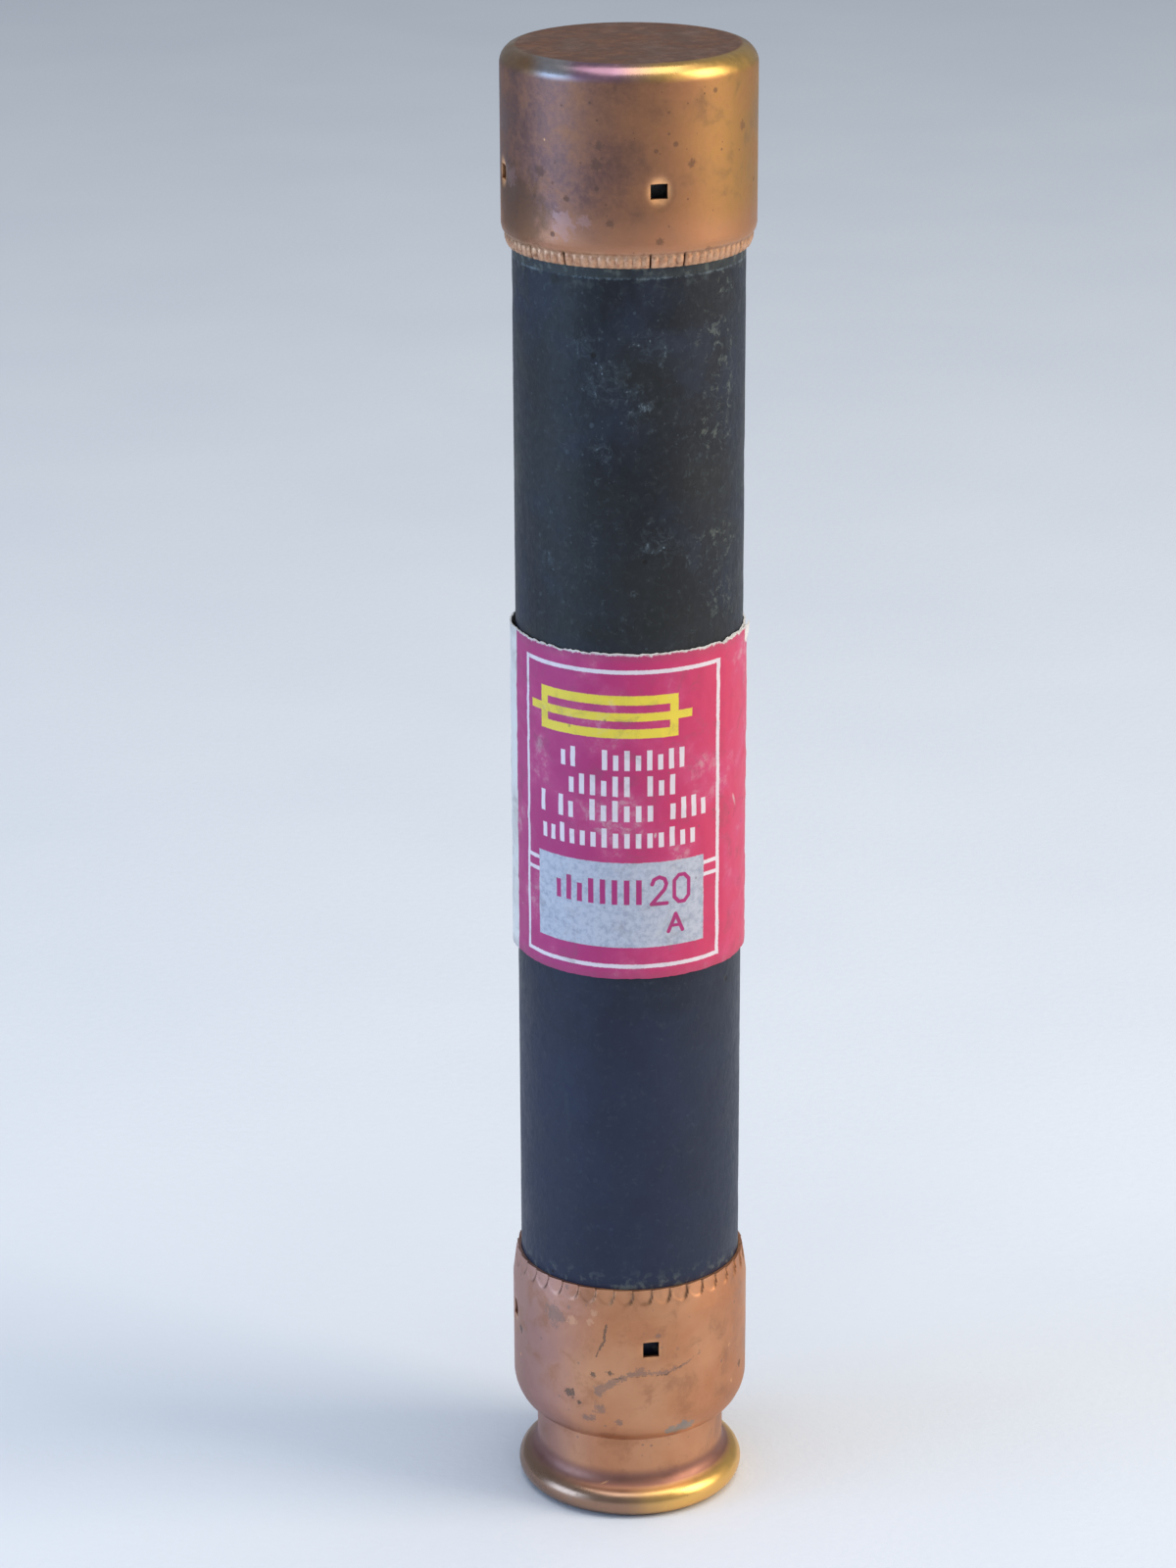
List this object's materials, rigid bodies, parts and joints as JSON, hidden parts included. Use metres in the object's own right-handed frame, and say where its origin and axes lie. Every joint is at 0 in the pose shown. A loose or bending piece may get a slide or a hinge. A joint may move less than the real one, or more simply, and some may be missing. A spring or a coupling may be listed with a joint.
{
  "type": "cartridge fuse",
  "caption": "Round cartridge fuse with copper ferrules, one grooved for a rejection clip, a fibre tube, a wrapped label and a spring-released overload link.",
  "frame": {"origin": "centre of the grooved ferrule's flat end face, where the fuse stands", "axes": "+Z along the fuse towards the plain ferrule, -Y towards the face that shows the label's panel, +X to that face's right"},
  "size_m": [0.0206, 0.0206, 0.127],
  "materials": {
    "tube_fibre": "dull black fibre, scuffed and speckled",
    "plain_ferrule_copper": "copper, brown and mottled with age",
    "rejection_ferrule_copper": "copper, bright orange with dark pits",
    "label_paper": "printed paper, worn at the edges",
    "washer_brass": "punched brass",
    "gasket_fibre": "grey-brown fibre paper",
    "plug_fibre": "pressed fibre",
    "tin_solder": "dull tin solder",
    "link_copper": "rolled copper strip",
    "quartz_sand": "packed fine sand",
    "partition_fibre": "red vulcanised fibre",
    "liner_fibre": "grey fibre paper",
    "absorber_copper": "turned copper",
    "heater_alloy": "rolled resistance alloy",
    "fusing_solder": "low-melting solder, dull",
    "plunger_brass": "turned brass",
    "spring_steel": "drawn spring wire",
    "anchor_brass": "turned brass",
    "shunt_braid": "flat copper braid",
    "rivet_copper": "headed copper"
  },
  "bodies": {
    "casing": {"fuse_tube": "tube_fibre", "plain_ferrule": "plain_ferrule_copper", "rejection_ferrule": "rejection_ferrule_copper", "rating_label": "label_paper", "upper_end_washer": "washer_brass", "lower_end_washer": "washer_brass", "upper_gasket": "gasket_fibre", "lower_gasket": "gasket_fibre", "upper_fill_plug": "plug_fibre", "lower_fill_plug": "plug_fibre", "upper_link_solder": "tin_solder", "lower_link_solder": "tin_solder", "upper_short_circuit_link": "link_copper", "lower_short_circuit_link": "link_copper", "upper_quartz_filler": "quartz_sand", "lower_quartz_filler": "quartz_sand", "upper_partition": "partition_fibre", "lower_partition": "partition_fibre", "chamber_liner": "liner_fibre", "heat_absorber": "absorber_copper", "heater_strip": "heater_alloy", "fusing_alloy": "fusing_solder", "trigger_spring": "spring_steel", "spring_anchor": "anchor_brass", "flexible_shunt": "shunt_braid", "heater_rivets": "rivet_copper", "anchor_rivets": "rivet_copper"},
    "trigger": {"trigger_plunger": "plunger_brass"}
  },
  "joints": [
    {"name": "trigger_release", "type": "slide", "parent": "casing", "child": "trigger", "axis": [0, 0, 1], "range_m": [0, 0.0065], "deforming": ["trigger_spring", "flexible_shunt"]}
  ]
}
